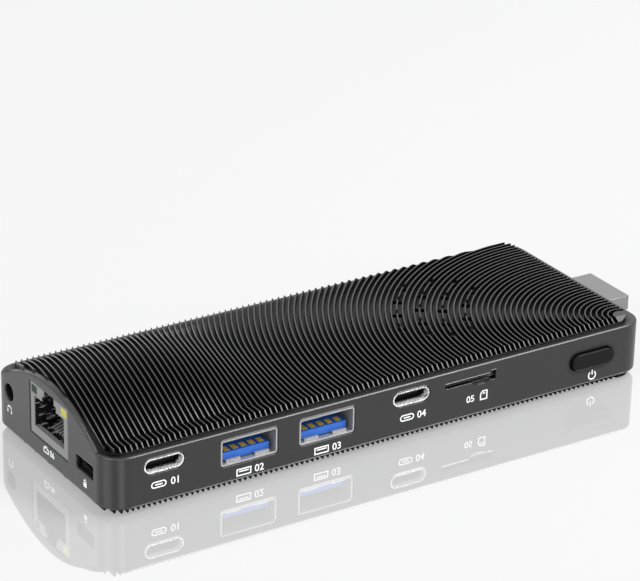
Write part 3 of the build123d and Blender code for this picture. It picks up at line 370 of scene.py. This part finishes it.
def lining_material():
    """Black plastic with thin bright metal streaks, as inside the network jack."""
    made, nodes, links, shader = new_material("jack_lining", LINING_BLACK, 0.22)
    coords = nodes.new("ShaderNodeTexCoord")
    stretch = nodes.new("ShaderNodeMapping")
    stretch.inputs["Scale"].default_value = STREAK_SCALES
    links.new(coords.outputs["Object"], stretch.inputs["Vector"])
    noise = noise_on(nodes, links, stretch.outputs["Vector"], 1.0, STREAK_DETAIL)
    streaks = spread(nodes, links, noise, 0.0, 1.0, *STREAK_NOISE)
    tone = blend(nodes, links, "RGBA", streaks, LINING_BLACK, LINING_BRIGHT)
    links.new(tone, shader.inputs["Base Color"])
    links.new(spread(nodes, links, streaks, 0.0, STREAK_METAL), shader.inputs["Metallic"])
    raised(nodes, links, shader, noise, FOLD_STRENGTH, FOLD_DEPTH)
    return made


def light_material(name, colour, glow):
    """Tinted clear plastic with a faint glow."""
    made, _, _, shader = new_material(name, colour, 0.35)
    shader.inputs["Specular IOR Level"].default_value = LIGHT_GLOSS
    shader.inputs["Emission Color"].default_value = (*colour, 1.0)
    shader.inputs["Emission Strength"].default_value = glow
    return made


def slot_materials():
    """A material for each slot of the record."""
    return {
        "housing": case_material(),
        "cover": cover_material(),
        "collar": textured("collar_metal", (0.42, 0.42, 0.43), 0.38, 0.8, bump=0.05, edge=0.12),
        "button": button_material(),
        "black_plastic": textured("black_plastic", (0.008, 0.008, 0.009), 0.5, bump=0.1),
        "board": textured("board_lacquer", (0.008, 0.07, 0.03), 0.35, bump=0.05),
        "board_dark": textured("dark_lacquer", (0.01, 0.035, 0.025), 0.35, bump=0.05),
        "steel": textured("steel", (0.56, 0.56, 0.58), 0.32, 1.0, bump=0.05),
        "die": textured("die", (0.1, 0.1, 0.12), 0.15, bump=0.02, vary=0.03),
        "pad": textured("pad", (0.2, 0.3, 0.4), 0.7, bump=0.1),
        "aluminium": textured("aluminium", (0.8, 0.81, 0.83), 0.3, 0.8, bump=0.05),
        "brass": textured("brass", (0.68, 0.5, 0.2), 0.3, 1.0, bump=0.05),
        "chip": textured("chip", (0.014, 0.014, 0.016), 0.5, bump=0.1),
        "ceramic": textured("ceramic", (0.36, 0.25, 0.14), 0.4, bump=0.05),
        "antenna": textured("antenna_film", (0.4, 0.22, 0.06), 0.4, bump=0.03),
        "lead": textured("lead_jacket", (0.012, 0.012, 0.013), 0.45, bump=0.05),
        "jack": textured("jack_plate", (0.2, 0.2, 0.203), 0.45, 0.2, bump=0.05, edge=0.06),
        "jack_lining": lining_material(),
        "green_light": light_material("green_light", (0.002, 0.02, 0.005), 0.05),
        "yellow_light": light_material("yellow_light", (0.4, 0.38, 0.06), 0.1),
        "gold": textured("gold_plate", (0.85, 0.55, 0.08), 0.34, 0.15, bump=0.03),
        "shell": textured("plated_shell", (0.4, 0.4, 0.405), 0.36, 0.6, bump=0.05, edge=0.06),
        "blue_plastic": textured("blue_plastic", (0.008, 0.11, 0.5), 0.4, bump=0.05, edge=0.06),
        "bright_shell": chrome_material(),
        "plug_metal": textured("plug_metal", (0.28, 0.275, 0.28), 0.3, 0.95, bump=0.03, edge=0.1),
    }


def dress_nodes(frame):
    """Gives every CAD node the material of its slot."""
    finishes = slot_materials()
    for entry in frame["record"]["subparts"]:
        node = frame["nodes"][entry["node"]]
        node.data.materials.clear()
        node.data.materials.append(finishes[entry["material_slot"]])


def mitred_edges(path, width, closed):
    """The two edges of a band of even width whose middle runs through the points.

    Each point is moved half the width both ways along the middle line of its two
    neighbouring stretches' normals, and further at a bend, so the width stays even.
    """
    steps = np.roll(path, -1, axis=0) - path
    if not closed:
        steps[-1] = steps[-2]
    steps /= np.linalg.norm(steps, axis=1)[:, None]
    after = np.column_stack((-steps[:, 1], steps[:, 0]))
    before = np.roll(after, 1, axis=0)
    if not closed:
        before[0] = after[0]
    middle = before + after
    middle /= np.linalg.norm(middle, axis=1)[:, None]
    shift = middle * (width / 2 / (middle * after).sum(1))[:, None]
    return path - shift, path + shift


def plate(ring):
    """A filled shape: its points, the face of its front and its outer edges."""
    here = np.arange(len(ring))
    return ring, here[None, :], np.column_stack((here, np.roll(here, -1)))


def band(path, width, closed=False):
    """A line drawn along a path: its points, its front faces and its outer edges.

    The right edge's points come first and the left edge's after them, so a stretch's
    face runs along the right edge and back along the left one.
    """
    right, left = mitred_edges(path, width, closed)
    count = len(path)
    here = np.arange(count if closed else count - 1)
    after = (here + 1) % count
    faces = np.column_stack((here, after, count + after, count + here))
    edges = np.vstack((faces[:, :2], faces[:, 2:]))
    if not closed:
        edges = np.vstack((edges, ((count - 1, 2 * count - 1), (count, 0))))
    return np.vstack((right, left)), faces, edges


def ride_case(name, mesh, material):
    """Puts a mesh in the scene as one piece of the case, with one material."""
    mesh.materials.clear()
    mesh.materials.append(material)
    made = bpy.data.objects.new(name, mesh)
    bpy.context.scene.collection.objects.link(made)
    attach(made, "case")


def sign(name, shapes, across, up, origin, material):
    """Thin printed shapes on a face: each is raised from its flat points and closed round.

    A point (u, v) lies at origin + u * across + v * up, once just under the face and
    once just over it, along across x up.
    """
    normal = np.cross(across, up)
    layers, faces = [], []
    start = 0
    for ring, fronts, edges in shapes:
        flat = origin + np.outer(ring[:, 0], across) + np.outer(ring[:, 1], up)
        count = len(ring)
        layers.append(flat - normal * PRINT_SINK * MM)
        layers.append(flat + normal * PRINT_THICKNESS * MM)
        sides = np.hstack((edges, edges[:, ::-1] + count))
        for group in (fronts[:, ::-1], fronts + count, sides):
            faces.extend((group + start).tolist())
        start += 2 * count
    mesh = bpy.data.meshes.new(name)
    mesh.from_pydata(np.vstack(layers).tolist(), [], faces)
    ride_case(name, mesh, material)


def numeral(text, middle, height, across, up, material):
    """A plain number as a thin mesh, centred on a point of a face.

    A letter's point is scaled so that the number has the asked height, and then placed
    as a sign's points are, under or over the face as its own depth is back or front.
    """
    name = "number_" + text
    curve = bpy.data.curves.new(name, "FONT")
    curve.body = text
    curve.extrude = NUMERAL_EXTRUDE
    curve.offset = NUMERAL_OFFSET
    holder = bpy.data.objects.new(name + "_curve", curve)
    bpy.context.scene.collection.objects.link(holder)
    bpy.context.view_layer.update()
    mesh = bpy.data.meshes.new_from_object(holder)
    bpy.data.objects.remove(holder)
    flat = np.zeros(len(mesh.vertices) * 3)
    mesh.vertices.foreach_get("co", flat)
    flat = flat.reshape(-1, 3)
    low, high = flat.min(0), flat.max(0)
    scale = height / (high[1] - low[1])
    normal = np.cross(across, up)
    u = (flat[:, 0] - (low[0] + high[0]) / 2) * scale
    v = (flat[:, 1] - (low[1] + high[1]) / 2) * scale
    w = np.where(flat[:, 2] > 0, PRINT_THICKNESS * MM, -PRINT_SINK * MM)
    placed = middle + np.outer(u, across) + np.outer(v, up) + np.outer(w, normal)
    mesh.vertices.foreach_set("co", placed.ravel())
    mesh.name = name
    ride_case(name, mesh, material)


def arc(radius, start, end, steps=24, middle=(0.0, 0.0)):
    """Points on a circle, in millimetres and degrees."""
    angles = np.radians(np.linspace(start, end, steps))
    ring = np.column_stack((np.cos(angles), np.sin(angles))) * radius + np.array(middle)
    return ring * MM


def corners(*pairs):
    """Points from pairs in millimetres."""
    return np.array(pairs) * MM


def oval_mark(half_length, radius):
    """The points round a lying oval: two half circles at its ends."""
    right = arc(radius, -90, 90, middle=(half_length - radius, 0.0))
    left = arc(radius, 90, 270, middle=(radius - half_length, 0.0))
    return np.vstack((right, left))


def marks():
    """The plain signs of the small print, each a list of shapes round its middle."""
    line = LINE_WIDTH * MM
    box = corners((-1.6, -0.68), (1.6, -0.68), (1.6, 0.68), (-1.6, 0.68))
    tongue = corners((-1.15, 0.05), (1.15, 0.05), (1.15, 0.33), (-1.15, 0.33))
    jack = corners(
        (-0.95, -0.6), (0.95, -0.6), (0.95, 0.25), (0.4, 0.25),
        (0.4, 0.65), (-0.4, 0.65), (-0.4, 0.25), (-0.95, 0.25),
    )
    card = corners((-0.8, -0.95), (0.8, -0.95), (0.8, 0.95), (-0.3, 0.95), (-0.8, 0.45))
    pads = [corners((u, 0.2), (u + 0.22, 0.2), (u + 0.22, 0.62), (u, 0.62)) for u in (-0.25, 0.15)]
    upright = oval_mark(0.36, 0.19)[::-1, ::-1]
    cups = [upright + corners((u, -0.42)) for u in (-0.8, 0.8)]
    lock = corners((-0.62, -0.85), (0.62, -0.85), (0.62, 0.15), (-0.62, 0.15))
    bar = corners((-0.15, 0.15), (0.15, 0.15), (0.15, 1.25), (-0.15, 1.25))
    return {
        "oval": [band(oval_mark(1.6, 0.6), line, True), plate(oval_mark(0.85, 0.14))],
        "box": [band(box, line, True), plate(tongue)],
        "jack": [band(jack, line, True)],
        "card": [band(card, line, True)] + [plate(pad) for pad in pads],
        "headphones": [band(arc(0.8, 10, 170), line)] + [plate(cup) for cup in cups],
        "padlock": [plate(lock), band(arc(0.42, 0, 180, middle=(0.0, 0.3)), line)],
        "power": [band(arc(0.92, 125, 415), POWER_LINE_WIDTH * MM), plate(bar)],
    }


def small_print():
    """White numbers and plain signs beside the sockets."""
    ink = new_material("white_print", (0.86, 0.87, 0.88), 0.5)[0]
    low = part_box("upper_housing")[0]
    shapes = marks()
    long_side = (np.array((1.0, 0.0, 0.0)), np.array((0.0, 0.0, 1.0)))
    port_end = (np.array((0.0, -1.0, 0.0)), np.array((0.0, 0.0, 1.0)))
    for name, mark, x, z, text in LONG_SIDE_SIGNS:
        place = np.array((x * MM, low.y, z * MM))
        sign(name, shapes[mark], *long_side, place, ink)
        if text:
            beside = place + np.array((NUMBER_SHIFT * MM, 0.0, 0.0))
            numeral(text, beside, NUMBER_HEIGHT * MM, *long_side, ink)
    x, z = CARD_NUMBER_PLACE
    place = np.array((x * MM, low.y, z * MM))
    numeral("05", place, CARD_NUMBER_HEIGHT * MM, *long_side, ink)
    for name, mark, y, z in PORT_END_SIGNS:
        place = np.array((low.x, y * MM, z * MM))
        sign(name, shapes[mark], *port_end, place, ink)
    y, z = JACK_NUMBER_PLACE
    place = np.array((low.x, y * MM, z * MM))
    numeral("06", place, JACK_NUMBER_HEIGHT * MM, *port_end, ink)


def add_floor():
    """A wide white floor with a clear mirror image of the object in a third of its light."""
    bpy.ops.mesh.primitive_plane_add(size=FLOOR_SIZE, location=(0, 0, 0))
    floor = bpy.context.object
    floor.name = "floor"
    made, nodes, links, shader = new_material("floor", FLOOR_COLOUR, FLOOR_ROUGHNESS)
    shader.inputs["Specular IOR Level"].default_value = 0.0
    shader.inputs["Emission Color"].default_value = (1.0, 1.0, 1.0, 1.0)
    shader.inputs["Emission Strength"].default_value = FLOOR_LIGHT
    mirror = nodes.new("ShaderNodeBsdfGlossy")
    mirror.inputs["Color"].default_value = (1.0, 1.0, 1.0, 1.0)
    mirror.inputs["Roughness"].default_value = MIRROR_ROUGHNESS
    mix = nodes.new("ShaderNodeMixShader")
    mix.inputs["Fac"].default_value = FLOOR_MIRROR
    links.new(shader.outputs["BSDF"], mix.inputs[1])
    links.new(mirror.outputs["BSDF"], mix.inputs[2])
    links.new(mix.outputs["Shader"], nodes["Material Output"].inputs["Surface"])
    floor.data.materials.append(made)
    floor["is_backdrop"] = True


def add_world():
    """White to the camera and to mirrors and clear things, and a softer fill for the rest."""
    world = bpy.data.worlds.new("studio")
    bpy.context.scene.world = world
    world.use_nodes = True
    nodes, links = world.node_tree.nodes, world.node_tree.links
    background = nodes["Background"]
    background.inputs["Color"].default_value = (1.0, 1.0, 1.0, 1.0)
    rays = nodes.new("ShaderNodeLightPath").outputs
    seen = reckon(nodes, links, "MAXIMUM", rays["Is Camera Ray"], rays["Is Glossy Ray"])
    seen = reckon(nodes, links, "MAXIMUM", seen, rays["Is Transmission Ray"])
    strength = spread(nodes, links, seen, WORLD_FILL, WORLD_SEEN)
    links.new(strength, background.inputs["Strength"])


def add_light(name, place, target, size, power):
    """A rectangular soft light that faces a point."""
    data = bpy.data.lights.new(name, "AREA")
    data.shape = "RECTANGLE"
    data.size, data.size_y = size
    data.energy = power
    lamp = bpy.data.objects.new(name, data)
    lamp.location = place
    aim = Vector(target) - Vector(place)
    lamp.rotation_euler = aim.to_track_quat("-Z", "Y").to_euler()
    bpy.context.scene.collection.objects.link(lamp)


def add_camera():
    """The camera that took the photograph, from its solved place and angles."""
    azimuth = math.radians(CAMERA_AZIMUTH)
    elevation = math.radians(CAMERA_ELEVATION)
    roll = math.radians(CAMERA_ROLL)
    level = math.cos(elevation)
    right = Vector((math.cos(azimuth), math.sin(azimuth), 0.0))
    across, along = math.sin(azimuth) * level, math.cos(azimuth) * level
    forward = Vector((-across, along, -math.sin(elevation)))
    up = right.cross(forward)
    rolled_right = math.cos(roll) * right + math.sin(roll) * up
    rolled_up = math.cos(roll) * up - math.sin(roll) * right
    turn = Matrix((rolled_right, rolled_up, -forward)).transposed().to_4x4()
    data = bpy.data.cameras.new("camera")
    data.lens = CAMERA_LENS
    data.sensor_width = CAMERA_SENSOR
    data.clip_start = CAMERA_NEAR * MM
    camera = bpy.data.objects.new("camera", data)
    camera.matrix_world = Matrix.Translation(Vector(CAMERA_PLACE) * MM) @ turn
    bpy.context.scene.collection.objects.link(camera)
    bpy.context.scene.camera = camera


def write_size(key, sizes):
    """Notes the object's bounds in the table of sizes."""
    low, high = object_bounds()
    sizes[key] = [list(low), list(high)]


with open("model.json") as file:
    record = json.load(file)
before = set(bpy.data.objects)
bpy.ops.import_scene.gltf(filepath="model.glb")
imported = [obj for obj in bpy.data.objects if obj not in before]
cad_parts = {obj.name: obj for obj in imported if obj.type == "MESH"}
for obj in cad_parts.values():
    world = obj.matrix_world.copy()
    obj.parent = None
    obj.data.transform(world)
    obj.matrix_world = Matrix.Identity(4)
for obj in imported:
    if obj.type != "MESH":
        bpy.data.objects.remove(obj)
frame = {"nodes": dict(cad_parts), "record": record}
sizes = {}
write_size("loaded", sizes)
dress_nodes(frame)
small_print()
add_floor()
add_world()
for light in LIGHTS:
    add_light(*light)
add_camera()
bpy.context.scene.view_settings.view_transform = "Standard"
write_size("finished", sizes)
